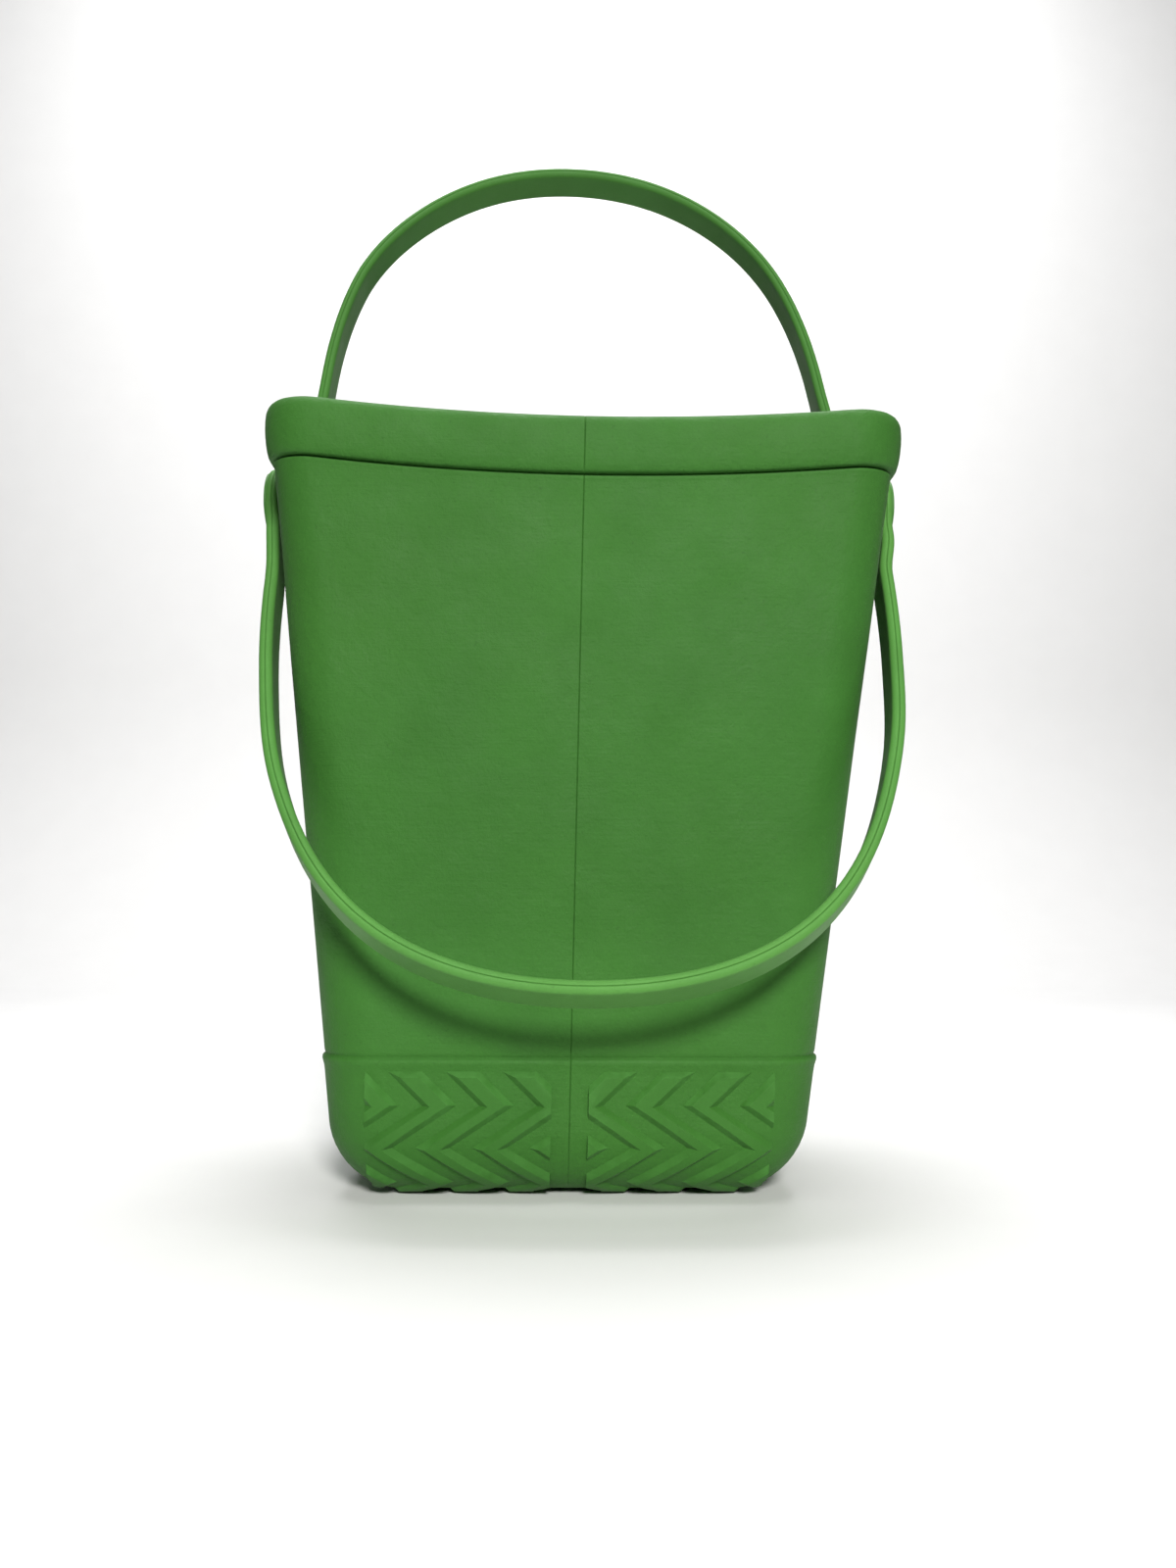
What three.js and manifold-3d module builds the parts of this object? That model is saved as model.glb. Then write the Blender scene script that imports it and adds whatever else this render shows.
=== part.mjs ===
// A bucket-shaped harvest bag moulded in one piece from closed-cell foam, with two strap handles.
// Millimetres, +Z up, -Y is the front. The origin is the centre of the underside.
import * as THREE from "three";
import { mergeVertices } from "three/addons/utils/BufferGeometryUtils.js";
import Module from "manifold-3d";

const wasm = await Module();
wasm.setup();

// ---- Driving dimensions ----

// Tub
const RIM_WIDTH = 250; // across the rim band, left to right
const RIM_DEPTH = 200; // across the rim band, front to back
const HEIGHT = 306; // from the ground to the rim at the two sides
const RIM_DIP = 12; // how much lower the rim is in the middle of the front and back
const RIM_BAND = 23; // height of the rolled rim band
const RIM_LIP = 4; // how far the rim band stands out from the wall
const RIM_ROUND = 5; // radius of the rim's outer top edge
const RIM_CORNER = 31; // plan radius of the rim's corners
const BASE_WIDTH = 183; // the wall carried down to the ground, left to right
const BASE_DEPTH = 144; // the wall carried down to the ground, front to back
const BASE_CORNER = 25; // plan radius of the wall's corners at the ground
const BASE_ROUND = 27; // radius of the edge between wall and underside
const WALL = 5; // foam thickness of the walls
const FLOOR = 9; // foam thickness of the floor, above the lugs
const MOUTH_FLARE = 2.5; // how far the mouth opens out at the top inner edge

// Base band and tread
const BAND_TOP = 54; // height of the ledge on top of the base band
const BAND_PROUD = 1.2; // how far the base band stands out from the wall
const LUG_HEIGHT = 1.5; // how far each tread lug stands out from the band
const LUG_TOP = 50; // height of the upper ends of the zigzag lugs
const LUG_PITCH = 21.5; // from one zigzag lug to the next
const LUG_WIDTH = 13; // width of one zigzag lug
const LUG_LEG_DROPS = [12.8, 15.9, 14.6, 6.7]; // height of each leg of a zigzag, from the top down
const LUG_LEG_REACHES = [-13.2, 23.9, -22.5, 10.5]; // sideways reach of each leg, + away from the centre
const LUG_FIRST = -8.8; // from the centre line to the upper end of a panel's first lug
const PANEL_START = 7; // from the centre line to a panel's inner edge
const PANEL_END = 77; // from the centre line to a panel's outer edge
const PAD_WIDTH = 76; // blank flat pad in the middle of the underside
const PAD_DEPTH = 44;
const PAD_CLEARANCE = 12; // bare underside between the pad and the lugs

// Strap handles
const STRAP_WIDTH = 16.5;
const STRAP_THICK = 5.2;
const STRAP_EDGE = 1.2; // size of the strap's softened edges
const STRAP_REACH = 219; // from the pivot to the middle of the grip
const STRAP_STRAIGHT = 40; // straight length of each leg from the pivot
const STRAP_EASE = 90; // how slowly each leg starts to bend inwards
const STRAP_FULLNESS = 0.84; // share of the half-width over which the grip stays level
const EYE_DIAMETER = 29;
const PIVOT_BELOW_RIM = 23.5; // from the rim at the side down to the pivots
const PIVOT_SPREAD = 62; // from the front handle's pivots to the rear handle's
const FRONT_HANG = 24.8; // degrees that the front handle hangs forward of straight down
const REAR_LEAN = 12.2; // degrees that the rear handle leans back from upright

// Pivot hardware
const POST_DIAMETER = 8;
const BUTTON_DIAMETER = 26;
const BUTTON_THICK = 2;
const SPACER_DIAMETER = 20;
const SPACER_THICK = 0.8;
const INNER_WASHER_DIAMETER = 22;
const INNER_WASHER_THICK = 1.5;
const CAP_DIAMETER = 17;
const CAP_THICK = 4.5;
const PAD_DIAMETER = 28; // round pad on the wall that gives each pivot a flat seat
const PAD_MARGIN = 1.5; // how far the seat stands inside the wall's inner face

// Fits
const GAP = 0.3; // between pieces that touch
const RUNNING = 0.5; // around the post

// ---- Derived sizes ----

const RIM_BOTTOM = HEIGHT - RIM_BAND;
const SEAT_OUTER = RIM_WIDTH / 2; // outer face of the wall's pivot pad, level with the rim band
const STRAP_INNER = SEAT_OUTER + GAP + SPACER_THICK + GAP; // inner face of each strap leg
const STRAP_HALF = STRAP_INNER + STRAP_THICK / 2; // middle of each strap leg
const PIVOT_HEIGHT = HEIGHT - PIVOT_BELOW_RIM;
const SEAT_INNER = wallHalf(RIM_WIDTH, BASE_WIDTH, PIVOT_HEIGHT - PAD_DIAMETER / 2) - WALL - PAD_MARGIN;
const WASHER_INNER = SEAT_INNER - GAP - INNER_WASHER_THICK;
const CAP_OUTER = WASHER_INNER - GAP;
const POST_RADIUS = POST_DIAMETER / 2;
const ROUND_STEPS = 20;

const GREEN = { color: 0x4c8340, roughness: 0.75, metalness: 0 };
const GREEN_STRAP = { color: 0x58964a, roughness: 0.7, metalness: 0 };
const GREEN_BUTTON = { color: 0x46803b, roughness: 0.5, metalness: 0 };
const INNER_PLASTIC = { color: 0x3f7536, roughness: 0.55, metalness: 0 };

// Half the wall's outer size at height z, along one side of the plan. The wall leans out in a
// straight line from the ground to the rim band and is upright behind the band.
function wallHalf(rimSize, baseSize, z) {
  const top = rimSize / 2 - RIM_LIP;
  const share = Math.min(z, RIM_BOTTOM) / RIM_BOTTOM;
  return THREE.MathUtils.lerp(baseSize / 2, top, share);
}

// ---- Solids ----

function solidOf(geometry, matrix = new THREE.Matrix4()) {
  const bare = geometry.clone().applyMatrix4(matrix);
  bare.deleteAttribute("normal");
  bare.deleteAttribute("uv");
  const merged = mergeVertices(bare, 1e-4);
  const vertProperties = new Float32Array(merged.attributes.position.array);
  const triVerts = new Uint32Array(merged.index.array);
  return new wasm.Manifold(new wasm.Mesh({ numProp: 3, vertProperties, triVerts }));
}

function geometryOf(solid) {
  const mesh = solid.getMesh();
  const geometry = new THREE.BufferGeometry();
  geometry.setAttribute("position", new THREE.BufferAttribute(mesh.vertProperties, 3));
  geometry.setIndex(new THREE.BufferAttribute(mesh.triVerts, 1));
  geometry.computeVertexNormals();
  return geometry;
}

function named(name, geometry, finish) {
  const mesh = new THREE.Mesh(geometry, new THREE.MeshStandardMaterial(finish));
  mesh.name = name;
  return mesh;
}

// A rounded-rectangle plan whose corner centres are at (+-1, +-1) and whose corners have radius 1.
function referencePlan() {
  const CORNER_STEPS = 6;
  const LONG_STEPS = 10;
  const SHORT_STEPS = 4;
  const points = [];
  for (let quarter = 0; quarter < 4; quarter++) {
    const start = (quarter * Math.PI) / 2;
    const centre = new THREE.Vector2(Math.SQRT2, 0).rotateAround(new THREE.Vector2(), start + Math.PI / 4);
    for (let i = 0; i <= CORNER_STEPS; i++) {
      const angle = start + (i / CORNER_STEPS) * (Math.PI / 2);
      points.push(new THREE.Vector2(centre.x + Math.cos(angle), centre.y + Math.sin(angle)));
    }
    const steps = quarter % 2 === 0 ? LONG_STEPS : SHORT_STEPS;
    const from = points[points.length - 1].clone();
    const along = new THREE.Vector2(-2, 0).rotateAround(new THREE.Vector2(), start);
    for (let i = 1; i < steps; i++) {
      points.push(from.clone().addScaledVector(along, i / steps));
    }
  }
  return new THREE.Shape(points);
}

// A solid lofted through levels, each { z, out }: the wall's plan at height z, moved outwards by
// out. The rim's dip lowers the upper levels towards the middle of the front and back.
function loftedTub(levels) {
  const last = levels.length - 1;
  const geometry = new THREE.ExtrudeGeometry(referencePlan(), {
    depth: last,
    steps: last,
    bevelEnabled: false,
  });
  const place = geometry.attributes.position;
  for (let i = 0; i < place.count; i++) {
    const { z, out } = levels[Math.round(place.getZ(i))];
    const halfX = wallHalf(RIM_WIDTH, BASE_WIDTH, z) + out;
    const halfY = wallHalf(RIM_DEPTH, BASE_DEPTH, z) + out;
    const share = Math.min(z, RIM_BOTTOM) / RIM_BOTTOM;
    const corner = Math.max(THREE.MathUtils.lerp(BASE_CORNER, RIM_CORNER - RIM_LIP, share) + out, 3);
    const cx = THREE.MathUtils.clamp(place.getX(i), -1, 1);
    const cy = THREE.MathUtils.clamp(place.getY(i), -1, 1);
    const x = cx * (halfX - corner) + (place.getX(i) - cx) * corner;
    const y = cy * (halfY - corner) + (place.getY(i) - cy) * corner;
    const dip = RIM_DIP * (1 - (x / halfX) ** 2) * THREE.MathUtils.smoothstep(z, BAND_TOP, RIM_BOTTOM);
    place.setXYZ(i, x, y, z - dip);
  }
  return solidOf(geometry);
}

// Levels of the rounded edge between the underside and the wall, from the ground upwards.
function roundedFoot(ground, radius, out) {
  const STEPS = 5;
  return Array.from({ length: STEPS + 1 }, (_, i) => {
    const angle = (i / STEPS) * (Math.PI / 2);
    return {
      z: ground + radius * (1 - Math.cos(angle)),
      out: out - radius * (1 - Math.sin(angle)),
    };
  });
}

function outerTub() {
  const shoulder = [0, 30, 60, 90].map((degrees) => {
    const angle = THREE.MathUtils.degToRad(degrees);
    return {
      z: HEIGHT - RIM_ROUND * (1 - Math.sin(angle)),
      out: RIM_LIP - RIM_ROUND * (1 - Math.cos(angle)),
    };
  });
  return loftedTub([
    ...roundedFoot(LUG_HEIGHT, BASE_ROUND, BAND_PROUD),
    { z: BAND_TOP, out: BAND_PROUD },
    { z: BAND_TOP + BAND_PROUD, out: 0 },
    ...wallLevels(BAND_TOP + BAND_PROUD, RIM_BOTTOM, 0),
    { z: RIM_BOTTOM, out: 0 },
    { z: RIM_BOTTOM + 0.2, out: RIM_LIP - 1 },
    { z: RIM_BOTTOM + 1.2, out: RIM_LIP },
    ...shoulder,
  ]);
}

// Evenly spaced levels between two heights, so that the wall can follow the rim's dip.
function wallLevels(from, to, out) {
  return [0.25, 0.5, 0.75].map((share) => ({ z: THREE.MathUtils.lerp(from, to, share), out }));
}

function cavity() {
  const bottom = LUG_HEIGHT + FLOOR;
  return loftedTub([
    ...roundedFoot(bottom, BASE_ROUND - WALL, BAND_PROUD - WALL),
    { z: BAND_TOP, out: BAND_PROUD - WALL },
    ...wallLevels(BAND_TOP, RIM_BOTTOM, -WALL),
    { z: RIM_BOTTOM, out: -WALL },
    { z: HEIGHT - 2 * MOUTH_FLARE, out: -WALL },
    { z: HEIGHT - 0.5 * MOUTH_FLARE, out: -WALL + 0.3 * MOUTH_FLARE },
    { z: HEIGHT + 1, out: -WALL + MOUTH_FLARE },
    { z: HEIGHT + RIM_DIP, out: -WALL + MOUTH_FLARE },
  ]);
}

// One zigzag lug in the X-Z plane, starting at startX at its upper end.
function zigzag(startX) {
  const line = [new THREE.Vector2(startX, LUG_TOP)];
  LUG_LEG_DROPS.forEach((drop, i) => {
    const above = line[line.length - 1];
    line.push(new THREE.Vector2(above.x + LUG_LEG_REACHES[i], above.y - drop));
  });
  const back = line.map((point) => new THREE.Vector2(point.x + LUG_WIDTH, point.y)).reverse();
  return new THREE.Shape([...line, ...back]);
}

// The lugs of the right-hand panels, as bars through the front and back of the base band.
function rightLugs() {
  const columns = Math.ceil((PANEL_END - LUG_FIRST) / LUG_PITCH) + 1;
  let bars = null;
  for (let column = 0; column < columns; column++) {
    const startX = LUG_FIRST + column * LUG_PITCH;
    const bar = new THREE.ExtrudeGeometry(zigzag(startX), { depth: RIM_DEPTH, bevelEnabled: false });
    bar.translate(0, 0, -RIM_DEPTH / 2).rotateX(Math.PI / 2);
    const solid = solidOf(bar);
    bars = bars ? bars.add(solid) : solid;
  }
  const panel = new THREE.BoxGeometry(PANEL_END - PANEL_START, RIM_DEPTH, LUG_TOP);
  const middle = new THREE.BoxGeometry(BASE_WIDTH, PAD_DEPTH + 2 * PAD_CLEARANCE, LUG_TOP);
  return bars
    .intersect(solidOf(panel.translate((PANEL_START + PANEL_END) / 2, 0, LUG_TOP / 2)))
    .subtract(solidOf(middle.translate(0, 0, LUG_TOP / 2)));
}

// Both pairs of panels, cut to the lugs' outer skin.
function treadLugs(skin) {
  const right = rightLugs();
  return right.add(right.mirror([1, 0, 0])).intersect(skin);
}

// The blank flat pad that the bag rests on, between the lugs.
function footPad() {
  const pad = new THREE.BoxGeometry(PAD_WIDTH, PAD_DEPTH, FLOOR);
  return solidOf(pad.translate(0, 0, FLOOR / 2));
}

// Turns local +Z outwards through the left or right wall, with the origin on the centre plane.
function pivotMatrix(sideX, sideY) {
  const turn = new THREE.Matrix4().makeRotationY((sideX * Math.PI) / 2);
  return new THREE.Matrix4().makeTranslation(0, (sideY * PIVOT_SPREAD) / 2, PIVOT_HEIGHT).multiply(turn);
}

function rod(radius, from, to) {
  const geometry = new THREE.CylinderGeometry(radius, radius, to - from, ROUND_STEPS);
  return geometry.rotateX(Math.PI / 2).translate(0, 0, (from + to) / 2);
}

function bagBody() {
  const skin = loftedTub([
    ...roundedFoot(0, BASE_ROUND, BAND_PROUD + LUG_HEIGHT),
    { z: BAND_TOP - 2, out: BAND_PROUD + LUG_HEIGHT },
  ]);
  let tub = outerTub().add(treadLugs(skin)).add(footPad()).subtract(cavity());
  for (const sideX of [-1, 1]) {
    for (const sideY of [-1, 1]) {
      const place = pivotMatrix(sideX, sideY);
      const hole = rod(POST_RADIUS + RUNNING, SEAT_INNER - WALL, SEAT_OUTER + WALL);
      tub = tub.add(solidOf(rod(PAD_DIAMETER / 2, SEAT_INNER, SEAT_OUTER), place));
      tub = tub.subtract(solidOf(hole, place));
    }
  }
  return named("bag_body", geometryOf(tub), GREEN);
}

// The middle line of one strap handle in its own X-Z plane, from the left pivot to the right.
function strapLine() {
  const level = STRAP_HALF * STRAP_FULLNESS;
  const path = new THREE.CurvePath();
  const leftFoot = new THREE.Vector2(-STRAP_HALF, 0);
  const leftBend = new THREE.Vector2(-STRAP_HALF, STRAP_STRAIGHT);
  const crown = new THREE.Vector2(0, STRAP_REACH);
  const rightBend = new THREE.Vector2(STRAP_HALF, STRAP_STRAIGHT);
  const rightFoot = new THREE.Vector2(STRAP_HALF, 0);
  const ease = new THREE.Vector2(0, STRAP_EASE);
  path.add(new THREE.LineCurve(leftFoot, leftBend));
  path.add(
    new THREE.CubicBezierCurve(
      leftBend,
      leftBend.clone().add(ease),
      new THREE.Vector2(-level, STRAP_REACH),
      crown,
    ),
  );
  path.add(
    new THREE.CubicBezierCurve(
      crown,
      new THREE.Vector2(level, STRAP_REACH),
      rightBend.clone().add(ease),
      rightBend,
    ),
  );
  path.add(new THREE.LineCurve(rightBend, rightFoot));
  return path;
}

// The strap: a band of even thickness along the middle line, with a round eye at each pivot.
function handle(name) {
  const STEPS = 64;
  const line = strapLine();
  const inset = STRAP_THICK / 2 - STRAP_EDGE;
  const outer = [];
  const inner = [];
  for (let i = 0; i <= STEPS; i++) {
    const point = line.getPointAt(i / STEPS);
    const tangent = line.getTangentAt(i / STEPS);
    const away = new THREE.Vector2(-tangent.y, tangent.x);
    outer.push(point.clone().addScaledVector(away, inset));
    inner.push(point.clone().addScaledVector(away, -inset));
  }
  const band = new THREE.ExtrudeGeometry(new THREE.Shape([...outer, ...inner.reverse()]), {
    depth: STRAP_WIDTH - 2 * STRAP_EDGE,
    bevelThickness: STRAP_EDGE,
    bevelSize: STRAP_EDGE,
    bevelSegments: 2,
  });
  band.translate(0, 0, STRAP_EDGE - STRAP_WIDTH / 2).rotateX(Math.PI / 2);
  let strap = solidOf(band);
  for (const sideX of [-1, 1]) {
    const turn = new THREE.Matrix4().makeRotationY((sideX * Math.PI) / 2);
    const eye = rod(EYE_DIAMETER / 2, STRAP_INNER, STRAP_INNER + STRAP_THICK);
    const hole = rod(POST_RADIUS + RUNNING, STRAP_INNER - 1, STRAP_INNER + STRAP_THICK + 1);
    strap = strap.add(solidOf(eye, turn)).subtract(solidOf(hole, turn));
  }
  return named(name, geometryOf(strap), GREEN_STRAP);
}

// The handle's group stands at its pivots; tilt turns it about X, 0 being upright.
function placedHandle(name, sideY, tilt) {
  const group = new THREE.Group();
  group.position.set(0, (sideY * PIVOT_SPREAD) / 2, PIVOT_HEIGHT);
  group.rotation.x = THREE.MathUtils.degToRad(tilt);
  group.add(handle(name));
  return group;
}

function lathe(profile) {
  const points = profile.map(([radius, height]) => new THREE.Vector2(radius, height));
  return new THREE.LatheGeometry(points, ROUND_STEPS).rotateX(Math.PI / 2);
}

// A low domed button with its post, which passes through the strap, the spacer and the wall.
function button() {
  const face = STRAP_INNER + STRAP_THICK + GAP;
  const tip = CAP_OUTER - CAP_THICK + 1.5;
  const radius = BUTTON_DIAMETER / 2;
  return lathe([
    [0, tip],
    [POST_RADIUS - 0.8, tip],
    [POST_RADIUS, tip + 0.8],
    [POST_RADIUS, face],
    [radius, face],
    [radius, face + 0.4 * BUTTON_THICK],
    [0.85 * radius, face + 0.8 * BUTTON_THICK],
    [0.4 * radius, face + BUTTON_THICK],
    [0, face + BUTTON_THICK],
  ]);
}

function washer(diameter, from, thickness) {
  const bore = POST_RADIUS + RUNNING;
  return lathe([
    [bore, from],
    [diameter / 2, from],
    [diameter / 2, from + thickness],
    [bore, from + thickness],
    [bore, from],
  ]);
}

// A cap pressed on the end of the post, with a blind socket.
function innerCap() {
  const radius = CAP_DIAMETER / 2;
  const bottom = CAP_OUTER - CAP_THICK;
  const socket = bottom + 1.5 - GAP;
  const bore = POST_RADIUS + GAP;
  return lathe([
    [0, bottom],
    [radius - 1.5, bottom],
    [radius, bottom + 1.5],
    [radius, CAP_OUTER],
    [bore, CAP_OUTER],
    [bore, socket],
    [0, socket],
  ]);
}

function pivotHardware(place, sideX, sideY) {
  const group = new THREE.Group();
  group.position.set(0, (sideY * PIVOT_SPREAD) / 2, PIVOT_HEIGHT);
  group.rotation.y = (sideX * Math.PI) / 2;
  group.add(named("button_" + place, button(), GREEN_BUTTON));
  group.add(named("spacer_" + place, washer(SPACER_DIAMETER, SEAT_OUTER + GAP, SPACER_THICK), GREEN_BUTTON));
  const washerShape = washer(INNER_WASHER_DIAMETER, WASHER_INNER, INNER_WASHER_THICK);
  group.add(named("inner_washer_" + place, washerShape, INNER_PLASTIC));
  group.add(named("inner_cap_" + place, innerCap(), INNER_PLASTIC));
  return group;
}

function bag() {
  const group = new THREE.Group();
  group.add(bagBody());
  group.add(placedHandle("handle_front", -1, 180 - FRONT_HANG));
  group.add(placedHandle("handle_rear", 1, -REAR_LEAN));
  for (const [end, sideY] of [["front", -1], ["rear", 1]]) {
    for (const [side, sideX] of [["left", -1], ["right", 1]]) {
      group.add(pivotHardware(end + "_" + side, sideX, sideY));
    }
  }
  return group;
}

export default bag();
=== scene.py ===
import math

import bmesh
import bpy
from mathutils import Matrix, Vector, noise


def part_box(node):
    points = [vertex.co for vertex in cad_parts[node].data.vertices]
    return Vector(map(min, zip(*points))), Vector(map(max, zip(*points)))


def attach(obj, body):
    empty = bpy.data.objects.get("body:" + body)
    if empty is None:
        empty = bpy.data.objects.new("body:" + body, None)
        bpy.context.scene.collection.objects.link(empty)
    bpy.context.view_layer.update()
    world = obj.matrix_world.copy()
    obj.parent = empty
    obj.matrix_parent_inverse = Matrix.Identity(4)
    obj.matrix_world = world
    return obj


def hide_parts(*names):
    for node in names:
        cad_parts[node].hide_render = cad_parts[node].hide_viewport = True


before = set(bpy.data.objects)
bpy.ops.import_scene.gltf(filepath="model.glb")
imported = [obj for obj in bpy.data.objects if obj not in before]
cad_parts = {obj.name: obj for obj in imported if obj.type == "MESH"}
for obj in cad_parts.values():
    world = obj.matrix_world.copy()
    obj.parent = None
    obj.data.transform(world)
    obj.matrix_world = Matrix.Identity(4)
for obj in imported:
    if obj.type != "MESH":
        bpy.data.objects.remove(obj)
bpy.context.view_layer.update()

# ---- Tub ----
# The bag itself: one moulding of closed-cell foam, a tapered bucket with a rolled rim band.
# It is lofted level by level, from the underside up the outside, over the rim and down the
# inside to the floor. A fine mould seam runs up the middle of the front and the back.
# Lengths here and in the next three sections are in millimetres, and heights are from the ground.

MM = 0.001
tub_low, tub_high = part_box("bag_body")
RIM_WIDTH = 250.0
RIM_DEPTH = (tub_high[1] - tub_low[1]) / MM
RIM_LIP = 4.0
RIM_DIP = 7.0
RIM_CORNER = 19.0
BAND_FOOT = 283.0
BASE_WIDTH = 180.5
BASE_DEPTH = 144.0
BASE_CORNER = 25.0
FOOT_ROUND = 27.0
LUG_RISE = 1.5
LEDGE = 54.0
LEDGE_PROUD = 0.6
WALL = 5.0
WALL_START = 58.0
WALL_END = 278.5
INSIDE_START = 295.0
INSIDE_END = 56.0
INNER_ROUND = FOOT_ROUND - WALL
FLOOR_TOP = 10.5
SEAM_COLUMNS = [0.0, 0.3, 0.9, 2.4]
SEAM_DEPTH = 0.4
LEAN = 0.0165
TILT = 0.011
TILT_HEIGHT = 300.0
WAVE_DEPTH = 0.45
WAVE_SCALE = 0.016
WAVE_FADES = [(LEDGE, 90.0), (255.0, 275.0)]


def blend_step(value, low, high):
    share = min(max((value - low) / (high - low), 0.0), 1.0)
    return share * share * (3.0 - 2.0 * share)


def level_plan(z, out):
    """Half-sizes and corner radius of the tub at one height, moved outwards by out."""
    share = min(z, BAND_FOOT) / BAND_FOOT
    half_x = BASE_WIDTH / 2 + (RIM_WIDTH / 2 - RIM_LIP - BASE_WIDTH / 2) * share + out
    half_y = BASE_DEPTH / 2 + (RIM_DEPTH / 2 - RIM_LIP - BASE_DEPTH / 2) * share + out
    corner = max(BASE_CORNER + (RIM_CORNER - BASE_CORNER) * share + out, 3.0)
    return half_x, half_y, corner


def leaned(place):
    """The soft tub stands a little askew: its mouth sits to the right and is lower there."""
    high = (place.z / TILT_HEIGHT) ** 2
    return Vector((place.x + LEAN * place.z, place.y, place.z - TILT * place.x * high))


def level_ring(z, out, seam=0.0):
    """The points of one level, from the middle of the front round to the right.

    The rim dips towards the middle of the front and back, and the walls are slightly wavy.
    """
    half_x, half_y, corner = level_plan(z, out)
    flat_x = half_x - corner
    flat_y = half_y - corner
    quarter = [(x, -half_y) for x in SEAM_COLUMNS]
    quarter += [(flat_x * (0.08 + 0.92 * i / 11), -half_y) for i in range(12)]
    for i in range(1, 15):
        turn = math.radians(90.0 * i / 14)
        quarter.append((flat_x + corner * math.sin(turn), -flat_y - corner * math.cos(turn)))
    quarter += [(half_x, -flat_y * (1 - i / 8)) for i in range(1, 9)]
    right = quarter + [(x, -y) for x, y in reversed(quarter[:-1])]
    ring = right + [(-x, y) for x, y in reversed(right[1:-1])]
    (fade_in, full), (fade_out, gone) = WAVE_FADES
    fade = blend_step(z, fade_in, full) * (1 - blend_step(z, fade_out, gone))
    places = []
    for x, y in ring:
        if x == 0.0:
            y -= math.copysign(seam, y)
        dip = RIM_DIP * (1 - (x / half_x) ** 2) * blend_step(z, LEDGE, BAND_FOOT)
        place = Vector((x, y, z - dip))
        wave = WAVE_DEPTH * fade * noise.noise(place * WAVE_SCALE)
        away = Vector((x, y, 0.0)).normalized()
        places.append(leaned(place + away * wave))
    return places


def start_ring(bm, places):
    """Makes the first open ring of a loft and returns its points in order."""
    made = bmesh.ops.create_circle(bm, cap_ends=False, segments=len(places), radius=1.0)
    ring = made["verts"]
    for vert, place in zip(ring, places):
        vert.co = place
    return ring


def next_ring(bm, ring, places):
    """Extrudes the open ring to new places and returns the new ring in the same order."""
    edges = [bm.edges.get((vert, ring[i - 1])) for i, vert in enumerate(ring)]
    made = bmesh.ops.extrude_edge_only(bm, edges=edges)
    fresh = {item for item in made["geom"] if isinstance(item, bmesh.types.BMVert)}
    grown = []
    for vert, place in zip(ring, places):
        other = next(e.other_vert(vert) for e in vert.link_edges if e.other_vert(vert) in fresh)
        other.co = place
        grown.append(other)
    return grown


def finished(name, bm, material, scale=MM, smooth_angle=40.0):
    """Closes off a mesh drawn in millimetres as a smooth-shaded object in metres."""
    bmesh.ops.recalc_face_normals(bm, faces=bm.faces)
    bmesh.ops.scale(bm, vec=(scale, scale, scale), verts=bm.verts)
    for face in bm.faces:
        face.smooth = True
    mesh = bpy.data.meshes.new(name)
    bm.to_mesh(mesh)
    bm.free()
    mesh.set_sharp_from_angle(angle=math.radians(smooth_angle))
    mesh.materials.append(material)
    obj = bpy.data.objects.new(name, mesh)
    bpy.context.scene.collection.objects.link(obj)
    return obj


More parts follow.
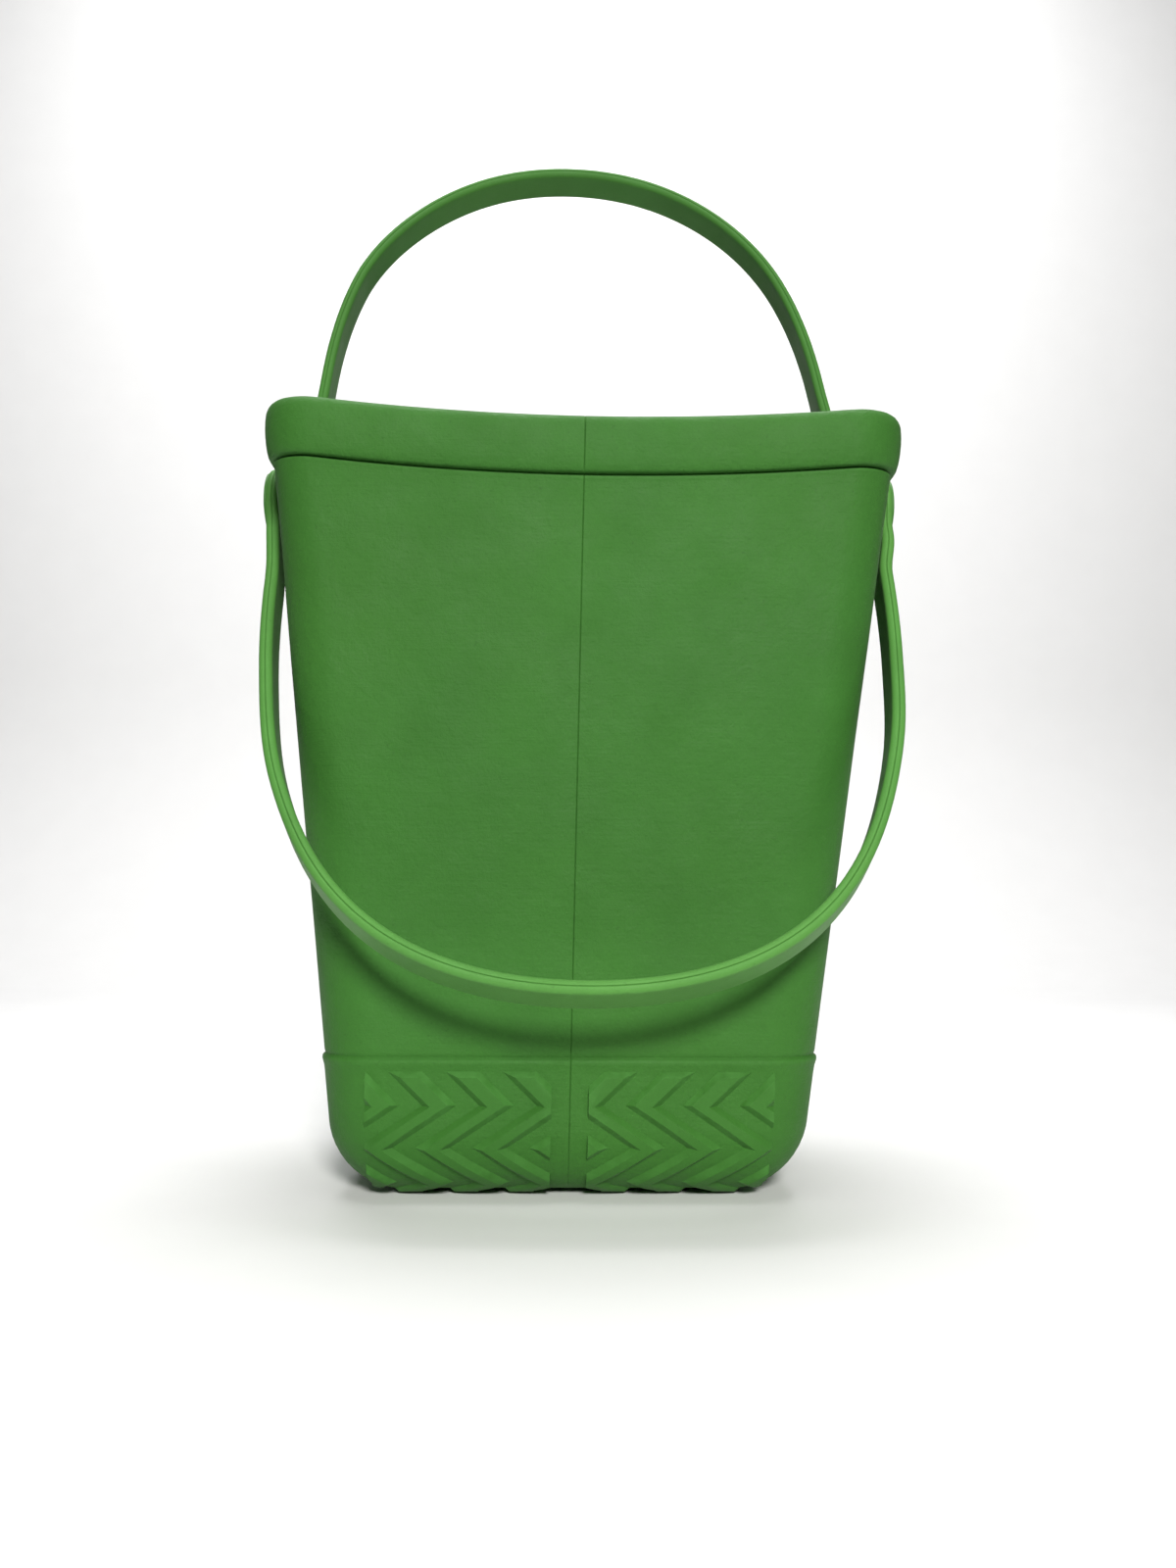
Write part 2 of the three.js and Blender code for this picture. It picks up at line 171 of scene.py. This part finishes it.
def moulded_skin(name, colour, roughness, grain, grain_size=0.0011, streaks=0.0):
    """The skin of moulded foam or plastic: fine grain, blotches, dark pores, and a painted
    highlight on convex edges.

    Grain is the strength of the bump. Sizes inside are in metres, as the texture space is.
    """
    material = bpy.data.materials.new(name)
    material.use_nodes = True
    tree = material.node_tree
    nodes = tree.nodes
    links = tree.links
    shader = nodes["Principled BSDF"]
    place = nodes.new("ShaderNodeTexCoord").outputs["Object"]

    def noise_node(size, detail=2.0, rough=0.5, source=place):
        node = nodes.new("ShaderNodeTexNoise")
        node.inputs["Scale"].default_value = 1.0 / size
        node.inputs["Detail"].default_value = detail
        node.inputs["Roughness"].default_value = rough
        links.new(source, node.inputs["Vector"])
        return node.outputs["Fac"]

    def ramp(source, low, high, to_low=0.0, to_high=1.0):
        node = nodes.new("ShaderNodeMapRange")
        node.inputs["From Min"].default_value = low
        node.inputs["From Max"].default_value = high
        node.inputs["To Min"].default_value = to_low
        node.inputs["To Max"].default_value = to_high
        links.new(source, node.inputs["Value"])
        return node.outputs["Result"]

    def mixed(factor, first, second, mode="MIX"):
        node = nodes.new("ShaderNodeMix")
        node.data_type = "RGBA"
        node.blend_type = mode
        if isinstance(factor, float):
            node.inputs[0].default_value = factor
        else:
            links.new(factor, node.inputs[0])
        for socket, value in ((node.inputs[6], first), (node.inputs[7], second)):
            if isinstance(value, tuple):
                socket.default_value = (*value, 1.0)
            else:
                links.new(value, socket)
        return node.outputs[2]

    def maths(kind, first, second):
        node = nodes.new("ShaderNodeMath")
        node.operation = kind
        for socket, value in ((node.inputs[0], first), (node.inputs[1], second)):
            if isinstance(value, float):
                socket.default_value = value
            else:
                links.new(value, socket)
        return node.outputs[0]

    light = tuple(min(channel * 1.09, 1.0) for channel in colour)
    dark = tuple(channel * 0.91 for channel in colour)
    olive = (colour[0] * 1.06, colour[1] * 0.97, colour[2] * 0.93)
    blotches = ramp(noise_node(0.055, 3.0, 0.6), 0.32, 0.68)
    shade = mixed(blotches, dark, light)
    patches = ramp(noise_node(0.12, 2.0), 0.4, 0.7, 0.0, 0.5)
    shade = mixed(patches, shade, olive)
    fine = noise_node(grain_size, 3.0, 0.65)
    shade = mixed(ramp(fine, 0.3, 0.72, 0.0, 0.22), shade, tuple(c * 0.62 for c in colour))
    pores = ramp(noise_node(0.0016, 1.0), 0.7, 0.8, 0.0, 0.25)
    shade = mixed(pores, shade, tuple(c * 0.4 for c in colour))
    geometry = nodes.new("ShaderNodeNewGeometry")
    # Painted highlight: convex edges, found by pointiness and broken up by noise, are painted
    # lighter where light would catch them.
    painted_edge_highlight = ramp(geometry.outputs["Pointiness"], 0.515, 0.58, 0.0, 0.35)
    painted_edge_highlight = maths("MULTIPLY", painted_edge_highlight, ramp(noise_node(0.006, 3.0), 0.35, 0.6))
    shade = mixed(painted_edge_highlight, shade, tuple(min(c * 1.5 + 0.02, 1.0) for c in colour))
    links.new(shade, shader.inputs["Base Color"])
    rough = ramp(noise_node(0.02, 4.0, 0.6), 0.3, 0.7, roughness - 0.07, roughness + 0.07)
    links.new(rough, shader.inputs["Roughness"])
    shader.inputs["Specular IOR Level"].default_value = 0.18
    shader.inputs["Sheen Weight"].default_value = 0.02
    shader.inputs["Sheen Roughness"].default_value = 0.5

    height = maths("ADD", fine, maths("MULTIPLY", noise_node(0.0042, 2.0), 1.6))
    if streaks:
        stretch = nodes.new("ShaderNodeMapping")
        stretch.inputs["Scale"].default_value = (0.06, 0.06, 1.0)
        links.new(place, stretch.inputs["Vector"])
        lines = noise_node(0.0009, 2.0, 0.5, stretch.outputs["Vector"])
        height = maths("ADD", height, maths("MULTIPLY", lines, streaks))
    bump = nodes.new("ShaderNodeBump")
    bump.inputs["Strength"].default_value = grain
    bump.inputs["Distance"].default_value = 0.0004
    links.new(height, bump.inputs["Height"])
    links.new(bump.outputs["Normal"], shader.inputs["Normal"])
    return material


BODY_GREEN = (0.0355, 0.142, 0.0195)
body_foam = moulded_skin("body_foam_finish", BODY_GREEN, 0.66, grain=0.6, streaks=0.5)

# Each level is (height, distance outwards from the plain taper of the wall). The base band
# ends in a fine lip, the rim band starts above a groove, and the seam stops at the rim's crest.
underside = [(LUG_RISE + FOOT_ROUND * (1 - math.cos(math.radians(a))),
              LEDGE_PROUD - FOOT_ROUND * (1 - math.sin(math.radians(a))))
             for a in (0, 6, 14, 22, 30, 38, 46, 54, 62, 70, 78, 85, 90)]
band = [(34.0, 0.6), (42.0, 0.6), (48.0, 0.6), (50.5, 0.7), (52.0, 1.0), (53.0, 1.15),
        (53.8, 1.0), (54.4, 0.55), (54.8, -0.1), (55.2, -0.35), (55.7, -0.1), (56.6, 0.0)]
wall = [(WALL_START + (WALL_END - WALL_START) * i / 24, 0.0) for i in range(25)]
rim = [(279.7, 0.1), (280.4, 0.3), (280.9, 0.25), (281.2, -0.5), (281.5, -1.2), (281.9, -1.2),
       (282.1, 0.0), (282.3, 1.0), (282.8, 1.6), (284.0, 2.2), (286.0, 2.8), (288.5, 3.3),
       (291.5, 3.7), (294.5, 3.95), (297.5, 4.0), (300.0, 3.85), (301.6, 3.4), (302.9, 2.6),
       (303.8, 1.5), (304.35, 0.2), (304.5, -1.3), (304.3, -2.5), (303.7, -3.5), (302.6, -4.2),
       (301.0, -4.7), (298.0, -5.0)]
crest = rim.index(max(rim))
inside = [(INSIDE_START - (INSIDE_START - INSIDE_END) * i / 14, -WALL) for i in range(15)]
inner_foot = [(FLOOR_TOP + INNER_ROUND * (1 - math.cos(math.radians(a))),
               LEDGE_PROUD - WALL - INNER_ROUND * (1 - math.sin(math.radians(a))))
              for a in (90, 80, 70, 60, 50, 40, 30, 20, 10, 0)]

bm = bmesh.new()
ring = start_ring(bm, level_ring(*underside[0]))
bmesh.ops.contextual_create(bm, geom=ring)
for z, out in underside[1:] + band + wall + rim[:crest]:
    ring = next_ring(bm, ring, level_ring(z, out, SEAM_DEPTH))
for z, out in rim[crest:] + inside + inner_foot:
    ring = next_ring(bm, ring, level_ring(z, out))
bmesh.ops.contextual_create(bm, geom=ring)
tub = finished("bag_body_skin", bm, body_foam, smooth_angle=50.0)
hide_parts("bag_body")
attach(tub, "bag")

# ---- Tread ----
# Chevron lugs moulded on the base band: two panels on the front and two on the back, which wrap
# under the foot. Each lug is a raised zigzag with sloping sides. They are drawn flat, in a sheet
# whose x runs from the centre line and whose y runs up the band, and then laid on the band.
# A blank pad stands in the middle of the underside.

PANEL_START = 7.0
PANEL_END = 77.0
PANEL_CORNER = (PANEL_END, 3.0, 0)
CORNER_NORMAL = (0.6, -0.8, 0)
LUG_TOP = 50.0
LUG_PITCH = 21.5
LUG_WIDTH = 13.0
LUG_FIRST = -8.8
LUG_COLUMNS = 5
LUG_SLOPE = 2.3
LUG_CREST = 0.25
LUG_ROOT = -1.0
LUG_LEGS = [(-13.2, -12.8), (23.9, -15.9), (-22.5, -14.6), (10.5, -6.7), (0.0, -21.0)]
SHEET_TURN = 5.0
LUG_SWELL = 0.5
SWELL_START = 4.0
SWELL_END = 18.0
BEND_TOP = 29.0
BEND_STEP = 1.5
BEND_ROWS = 28
TURN_START = 64.5
TURN_STEP = 2.5
TURN_COLUMNS = 5
PAD_SIZE = (76.0, 44.0, 3.0)
PAD_EDGE = 0.6


def band_place(x, y, rise):
    """Where a point of the flat sheet lies on the front of the base band."""
    centre = FOOT_ROUND + LUG_RISE
    if y >= centre:
        z = y
        out = LEDGE_PROUD + rise
    else:
        turn = math.asin((centre - max(y, SHEET_TURN)) / FOOT_ROUND)
        under = 0.0
        if y < SHEET_TURN:
            turn += (SHEET_TURN - y) / FOOT_ROUND
            under = max(turn - math.pi / 2, 0.0) * FOOT_ROUND
            turn = min(turn, math.pi / 2)
        z = centre - (FOOT_ROUND + rise) * math.sin(turn)
        out = LEDGE_PROUD - FOOT_ROUND + (FOOT_ROUND + rise) * math.cos(turn) - under
    half_x, half_y, corner = level_plan(z, out)
    flat_x = half_x - corner
    flat_y = half_y - corner
    if x <= flat_x:
        return Vector((x, -half_y, z))
    turn = min((x - flat_x) / corner, math.pi / 2)
    return Vector((flat_x + corner * math.sin(turn), -flat_y - corner * math.cos(turn), z))


def cut(bm, point, normal, clear=False):
    """Cuts new edges across the sheet, and removes what lies past them if clear is set."""
    bmesh.ops.bisect_plane(bm, geom=bm.verts[:] + bm.edges[:] + bm.faces[:], dist=1e-4,
                           plane_co=point, plane_no=normal, clear_outer=clear)


sheet = bmesh.new()
for column in range(LUG_COLUMNS):
    x = LUG_FIRST + column * LUG_PITCH
    ends = [sheet.verts.new((x, LUG_TOP, 0)), sheet.verts.new((x + LUG_WIDTH, LUG_TOP, 0))]
    edge = sheet.edges.new(ends)
    for reach, drop in LUG_LEGS:
        made = bmesh.ops.extrude_edge_only(sheet, edges=[edge])["geom"]
        fresh = [item for item in made if isinstance(item, bmesh.types.BMVert)]
        edge = next(item for item in made if isinstance(item, bmesh.types.BMEdge)
                    and all(vert in fresh for vert in item.verts))
        bmesh.ops.translate(sheet, vec=(reach, drop, 0), verts=fresh)
bmesh.ops.recalc_face_normals(sheet, faces=sheet.faces)
tops = sheet.faces[:]
bmesh.ops.inset_region(sheet, faces=tops, thickness=LUG_SLOPE, depth=0.0, use_boundary=True,
                       use_even_offset=True)
raised = {vert for face in tops for vert in face.verts}
for vert in raised:
    vert.co.z = LUG_RISE
crests = [edge for edge in sheet.edges if sum(face in tops for face in edge.link_faces) == 1]
bmesh.ops.bevel(sheet, geom=crests, offset=LUG_CREST, segments=2, profile=0.5,
                affect="EDGES", material=-1)
cut(sheet, (PANEL_START, 0, 0), (-1, 0, 0), clear=True)
cut(sheet, (PANEL_END, 0, 0), (1, 0, 0), clear=True)
cut(sheet, PANEL_CORNER, CORNER_NORMAL, clear=True)
skirt = bmesh.ops.extrude_edge_only(sheet, edges=[e for e in sheet.edges if e.is_boundary])
for item in skirt["geom"]:
    if isinstance(item, bmesh.types.BMVert):
        item.co.z = LUG_ROOT
for step in range(BEND_ROWS):
    cut(sheet, (0, BEND_TOP - BEND_STEP * step, 0), (0, 1, 0))
for step in range(TURN_COLUMNS):
    cut(sheet, (TURN_START + TURN_STEP * step, 0, 0), (1, 0, 0))

bm = bmesh.new()
for side_x in (1, -1):
    for side_y in (1, -1):
        mesh = bpy.data.meshes.new("panel")
        sheet.to_mesh(mesh)
        known = len(bm.verts)
        bm.from_mesh(mesh)
        bm.verts.ensure_lookup_table()
        for vert in bm.verts[known:]:
            lift = 1.0
            if vert.co.z > 0:
                lift += LUG_SWELL * blend_step(vert.co.y, SWELL_START, SWELL_END)
            place = band_place(vert.co.x, vert.co.y, vert.co.z * lift)
            vert.co = leaned(Vector((place.x * side_x, place.y * side_y, place.z)))
        bpy.data.meshes.remove(mesh)
sheet.free()
pad = bmesh.ops.create_cube(bm, size=1.0)["verts"]
bmesh.ops.scale(bm, vec=PAD_SIZE, verts=pad)
bmesh.ops.translate(bm, vec=(0, 0, PAD_SIZE[2] / 2), verts=pad)
pad_edges = list({edge for vert in pad for edge in vert.link_edges})
bmesh.ops.bevel(bm, geom=pad_edges, offset=PAD_EDGE, segments=3, profile=0.5,
                affect="EDGES", material=-1)
TREAD_GREEN = tuple(channel * 1.02 for channel in BODY_GREEN)
tread_foam = moulded_skin("tread_foam_finish", TREAD_GREEN, 0.62, grain=0.16)
tread = finished("bag_tread", bm, tread_foam, smooth_angle=35.0)
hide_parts("bag_body")
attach(tread, "bag")

# ---- Strap handles ----
# Two flat foam straps, each moulded with a round eye at both ends. The front one hangs down in
# front of the bag, and the rear one stands over the mouth. The rear one is painted darker, as
# painted shade for the shade on its underside and inner face. A fine mould seam runs along both
# narrow edges. Each is one loft along its middle line, whose width swells into the eyes. The
# buttons sit
# PIVOT_SHIFT to the right of the middle, as the tub leans. A pinch is (start, end, depth): where
# a soft leg bends in towards the bag, or away if depth is negative.

PIVOT_SHIFT = 3.95
STRAP_HALF = 128.9
STRAP_REACH = 219.0
FRONT_REACH = 221.0
REAR_REACH = 220.3
STRAP_THICK = 5.3
STRAP_SOFT = 1.9
STRAP_WIDTH = 16.5
EYE_RADIUS = 14.5
EYE_EASE = 10.0
STRAP_EASE = 90.0
STRAP_FULL = 0.84
STRAP_STRAIGHT = 40.0
EYE_ZONE = 60.0
SEAM_HALF = 0.4
PINCH_FADE = 90.0
FRONT_HANG = 24.6
REAR_LEAN = 13.2
FRONT_SWAY = 3.0
REAR_SWAY = -7.0
FRONT_PINCH_RIGHT = [(19.0, 40.0, 3.2), (80.0, 120.0, -1.0), (130.0, 215.0, -2.2)]
FRONT_PINCH_LEFT = [(6.0, 46.0, 3.3), (90.0, 140.0, -1.4), (140.0, 215.0, -1.9)]
REAR_PINCH_RIGHT = [(26.0, 90.0, 5.2), (150.0, STRAP_REACH, 2.3)]
REAR_PINCH_LEFT = [(26.0, 90.0, 3.6), (150.0, STRAP_REACH, 5.1)]


def strap_line(reach):
    """The right half of the strap's middle line, from the end of the eye to the crown."""
    ends = [-EYE_RADIUS * math.cos(math.radians(a)) for a in range(0, 90, 9)]
    line = [Vector((STRAP_HALF, s)) for s in ends]
    line += [Vector((STRAP_HALF, STRAP_STRAIGHT * i / 20)) for i in range(20)]
    a = Vector((STRAP_HALF, STRAP_STRAIGHT))
    b = Vector((STRAP_HALF, STRAP_STRAIGHT + STRAP_EASE))
    c = Vector((STRAP_HALF * STRAP_FULL, reach))
    d = Vector((0.0, reach))
    for i in range(49):
        t = i / 48
        near_end = a * (1 - t) ** 3 + b * 3 * t * (1 - t) ** 2
        line.append(near_end + c * 3 * t * t * (1 - t) + d * t ** 3)
    return line


def strap_half_width(reach):
    """Half the strap's width at a distance above the pivot, swelling into the eye."""
    half = STRAP_WIDTH / 2
    fillet = math.sqrt((EYE_RADIUS + EYE_EASE) ** 2 - (half + EYE_EASE) ** 2)
    touch = fillet * EYE_RADIUS / (EYE_RADIUS + EYE_EASE)
    if reach < touch:
        return math.sqrt(max(EYE_RADIUS ** 2 - reach ** 2, 0.0025))
    if reach < fillet:
        return half + EYE_EASE - math.sqrt(EYE_EASE ** 2 - (reach - fillet) ** 2)
    return half


def strap_section(half):
    """Offsets (through the thickness, across the width) round the strap, clockwise.

    It starts in the groove of the mould seam, and the edges are softened.
    """
    deep = STRAP_THICK / 2
    soft = min(STRAP_SOFT, 0.7 * half)
    quarter = [(0.0, half - 0.55), (0.2, half - 0.1), (SEAM_HALF, half)]
    for i in range(1, 8):
        turn = math.radians(90 * i / 7)
        through = SEAM_HALF + (deep - SEAM_HALF) * math.sin(turn)
        quarter.append((through, half - soft * (1 - math.cos(turn))))
    quarter += [(deep, (half - soft) * 0.6), (deep, 0.0)]
    side = quarter + [(n, -w) for n, w in reversed(quarter[:-1])]
    return side + [(-n, w) for n, w in reversed(side[1:-1])]


def pinched(line, pinches):
    """Draws a leg's middle line in towards the bag, by the depth of each pinch passed."""
    drawn = []
    for point in line:
        pinch = sum(depth * blend_step(point.y, low, high) for low, high, depth in pinches)
        share = 1.0 - (1.0 - min(point.x / PINCH_FADE, 1.0)) ** 2
        drawn.append(Vector((point.x - pinch * share, point.y)))
    return drawn


def strap(name, pivot_y, pivot_z, tilt, reach, sway, right_pinches, left_pinches, material):
    """Lofts a whole strap, turned tilt degrees from upright about its two buttons."""
    line = pinched(strap_line(reach), right_pinches)
    left = pinched(strap_line(reach), left_pinches)
    line += [Vector((-p.x, p.y)) for p in reversed(left[:-1])]
    turn = Matrix.Rotation(math.radians(tilt), 3, "X")
    bm = bmesh.new()
    ring = None
    for i, point in enumerate(line):
        before = line[max(i - 1, 0)]
        after = line[min(i + 1, len(line) - 1)]
        along = (after - before).normalized()
        away = Vector((along.y, -along.x))
        half = strap_half_width(point.y) if point.y < EYE_ZONE else STRAP_WIDTH / 2
        lean = sway * max(point.y / STRAP_REACH, 0.0) ** 1.5
        places = []
        for through, across in strap_section(half):
            flat = point + away * through
            place = Vector((flat.x + lean, across, flat.y))
            places.append(turn @ place + Vector((PIVOT_SHIFT, pivot_y, pivot_z)))
        if ring is None:
            ring = start_ring(bm, places)
            bmesh.ops.contextual_create(bm, geom=ring)
        else:
            ring = next_ring(bm, ring, places)
    bmesh.ops.contextual_create(bm, geom=ring)
    return finished(name, bm, material, smooth_angle=55.0)


def pivot_of(node):
    """The depth and height of the axis that a button turns about."""
    low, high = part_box(node)
    return (low[1] + high[1]) / 2 / MM, (low[2] + high[2]) / 2 / MM


STRAP_GREEN = (0.078, 0.245, 0.046)
# The rear strap is the same foam as the front one. Its colour is darkened as painted shade for
# the shade on its underside and inner face.
REAR_STRAP_SHADED_GREEN = (0.052, 0.182, 0.029)
strap_foam = moulded_skin("strap_foam_finish", STRAP_GREEN, 0.6, grain=0.14,
                          grain_size=0.0008)
rear_strap_shaded_foam = moulded_skin("rear_strap_painted_shade_finish", REAR_STRAP_SHADED_GREEN, 0.62, grain=0.14,
                               grain_size=0.0008)
front_y, front_z = pivot_of("button_front_right")
rear_y, rear_z = pivot_of("button_rear_right")
front_strap = strap("handle_front_strap", front_y, front_z, 180.0 - FRONT_HANG, FRONT_REACH,
                    FRONT_SWAY, FRONT_PINCH_RIGHT, FRONT_PINCH_LEFT, strap_foam)
rear_strap = strap("handle_rear_strap", rear_y, rear_z, -REAR_LEAN, REAR_REACH,
                   REAR_SWAY, REAR_PINCH_RIGHT, REAR_PINCH_LEFT, rear_strap_shaded_foam)
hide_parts("handle_front")
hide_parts("handle_rear")
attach(front_strap, "front_handle")
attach(rear_strap, "rear_handle")

# ---- Pivot hardware ----
# At each eye a low domed button holds the strap to the wall. A spacer stands between the strap
# and a round foam seat moulded on the wall, and a washer and a cap close the post off inside.
# All are turned shapes, the seats in the tub's foam and the rest in satin plastic.

SEAT_RADIUS = 14.0
SEAT_INNER = 112.9
SEAT_OUTER = RIM_WIDTH / 2 - 0.1
SEAT_SOFT = 1.2
BUTTON_THICK = 2.0
BUTTON_DOME = 0.9
BUTTON_SETBACK = 0.5
BUTTON_GREEN = (0.050, 0.175, 0.030)

def turned(name, profile, pivot_y, pivot_z, side, material):
    """Spins a profile of (radius, distance from the centre plane) about the pivot's own axis."""
    bm = bmesh.new()
    chain = [bm.verts.new((distance, radius, 0)) for radius, distance in profile]
    edges = [bm.edges.new(pair) for pair in zip(chain, chain[1:])]
    bmesh.ops.spin(bm, geom=chain + edges, cent=(0, 0, 0), axis=(1, 0, 0), dvec=(0, 0, 0),
                   angle=math.tau, steps=56, use_merge=True)
    bmesh.ops.remove_doubles(bm, verts=bm.verts, dist=1e-4)
    bmesh.ops.scale(bm, vec=(side, 1, 1), verts=bm.verts)
    bmesh.ops.translate(bm, vec=(PIVOT_SHIFT, pivot_y, pivot_z), verts=bm.verts)
    return finished(name, bm, material, smooth_angle=35.0)


def disc_profile(radius, low, high, soft, dome=0.0):
    """A flat disc with softened edges and, if asked for, a domed outer face."""
    return [(0.0, low), (radius - soft, low), (radius - 0.3 * soft, low + 0.3 * soft),
            (radius, low + soft), (radius, high - dome - soft),
            (radius - 0.3 * soft, high - dome - 0.3 * soft), (radius - soft, high - dome),
            (radius * 0.8, high - dome * 0.45), (radius * 0.55, high - dome * 0.15),
            (radius * 0.28, high - dome * 0.03), (0.0, high)]


button_plastic = moulded_skin("button_finish", BUTTON_GREEN, 0.45, grain=0.06,
                              grain_size=0.0006)
inner_plastic = moulded_skin("inner_plastic_finish", BUTTON_GREEN, 0.48, grain=0.06,
                             grain_size=0.0006)
EDGE_SOFTNESS = {"button": 0.5, "spacer": 0.3, "inner_washer": 0.3, "inner_cap": 1.0}

for end in ("front", "rear"):
    for side_name, side in (("left", -1), ("right", 1)):
        place = f"{end}_{side_name}"
        pivot_y, pivot_z = pivot_of("button_" + place)
        seat = disc_profile(SEAT_RADIUS, SEAT_INNER, SEAT_OUTER, SEAT_SOFT)
        pad = turned("pivot_seat_" + place, seat, pivot_y, pivot_z, side, body_foam)
        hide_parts("bag_body")
        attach(pad, "bag")
        for kind, soft in EDGE_SOFTNESS.items():
            node = kind + "_" + place
            low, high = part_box(node)
            near = min(abs(low[0]), abs(high[0])) / MM
            far = max(abs(low[0]), abs(high[0])) / MM
            dome = 0.0
            if kind == "button":
                far -= BUTTON_SETBACK
                near = far - BUTTON_THICK
                dome = BUTTON_DOME
            material = button_plastic if kind in ("button", "spacer") else inner_plastic
            radius = (high[2] - low[2]) / 2 / MM
            profile = disc_profile(radius, near, far, soft, dome)
            piece = turned(node + "_turned", profile, pivot_y, pivot_z, side, material)
            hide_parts(node)
            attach(piece, "bag")

# ---- Floor, light and camera ----
# A plain pale sweep of paper under studio light: a small key in front, a little above the bag,
# a broad light overhead and one lamp on the paper behind. The camera stands low in front of the
# bag and looks slightly up. Sizes here are in metres.

SWEEP_FRONT = -0.36
SWEEP_BACK = 1.1
SWEEP_ROUND = 0.5
SWEEP_TOP = 2.2
SWEEP_HALF = 1.15

bm = bmesh.new()
profile = [(SWEEP_FRONT, 0.0), (SWEEP_BACK, 0.0)]
profile += [(SWEEP_BACK + SWEEP_ROUND * math.sin(math.radians(a)),
             SWEEP_ROUND - SWEEP_ROUND * math.cos(math.radians(a))) for a in range(10, 91, 10)]
profile.append((SWEEP_BACK + SWEEP_ROUND, SWEEP_TOP))
chain = [bm.verts.new((-SWEEP_HALF, y, z)) for y, z in profile]
edges = [bm.edges.new(pair) for pair in zip(chain, chain[1:])]
swept = bmesh.ops.extrude_edge_only(bm, edges=edges)["geom"]
bmesh.ops.translate(bm, vec=(2 * SWEEP_HALF, 0, 0),
                    verts=[item for item in swept if isinstance(item, bmesh.types.BMVert)])
paper = bpy.data.materials.new("paper")
paper.use_nodes = True
paper_shader = paper.node_tree.nodes["Principled BSDF"]
paper_shader.inputs["Roughness"].default_value = 0.9
paper_noise = paper.node_tree.nodes.new("ShaderNodeTexNoise")
paper_noise.inputs["Scale"].default_value = 40.0
paper_mix = paper.node_tree.nodes.new("ShaderNodeMapRange")
paper_mix.inputs["To Min"].default_value = 0.79
paper_mix.inputs["To Max"].default_value = 0.82
paper.node_tree.links.new(paper_noise.outputs["Fac"], paper_mix.inputs["Value"])
paper.node_tree.links.new(paper_mix.outputs["Result"], paper_shader.inputs["Base Color"])
floor = finished("floor", bm, paper, scale=1.0, smooth_angle=60.0)


def area_light(name, place, target, size, power, colour=(1, 1, 1)):
    """A round lamp that points at its target, with its power in watts."""
    lamp = bpy.data.lights.new(name, "AREA")
    lamp.shape = "DISK"
    lamp.size = size
    lamp.energy = power
    lamp.color = colour
    obj = bpy.data.objects.new(name, lamp)
    obj.location = place
    obj.rotation_euler = (Vector(target) - Vector(place)).to_track_quat("-Z", "Y").to_euler()
    bpy.context.scene.collection.objects.link(obj)


area_light("key", (0.16, -1.50, 0.70), (0, 0, 0.15), size=0.30, power=30.0,
           colour=(1.0, 0.985, 0.95))
area_light("top", (0.0, -0.35, 1.6), (0, -0.1, 0.2), size=0.8, power=6.0)
area_light("paper", (0.0, 0.6, 2.0), (0, 1.3, 0.4), size=1.6, power=40.0)

WORLD_STRENGTH = 0.05
world = bpy.data.worlds.new("surround")
world.use_nodes = True
world.node_tree.nodes["Background"].inputs["Color"].default_value = (1.0, 1.0, 1.0, 1.0)
world.node_tree.nodes["Background"].inputs["Strength"].default_value = WORLD_STRENGTH
scene = bpy.context.scene
scene.world = world
scene.view_settings.view_transform = "Standard"

CAMERA_PLACE = (0.0085, -0.564, 0.110)
CAMERA_PITCH = 5.7
CAMERA_ROLL = 0.25
CAMERA_YAW = 1.2
CAMERA_LENS = 29.25
lens = bpy.data.cameras.new("camera")
lens.lens = CAMERA_LENS
lens.sensor_width = 36.0
camera = bpy.data.objects.new("camera", lens)
orbit = Matrix.Rotation(math.radians(-CAMERA_YAW), 4, "Z")
stand = Matrix.Translation(CAMERA_PLACE)
aim = Matrix.Rotation(math.radians(90.0 + CAMERA_PITCH), 4, "X")
camera.matrix_world = orbit @ stand @ aim @ Matrix.Rotation(math.radians(CAMERA_ROLL), 4, "Z")
scene.collection.objects.link(camera)
scene.camera = camera
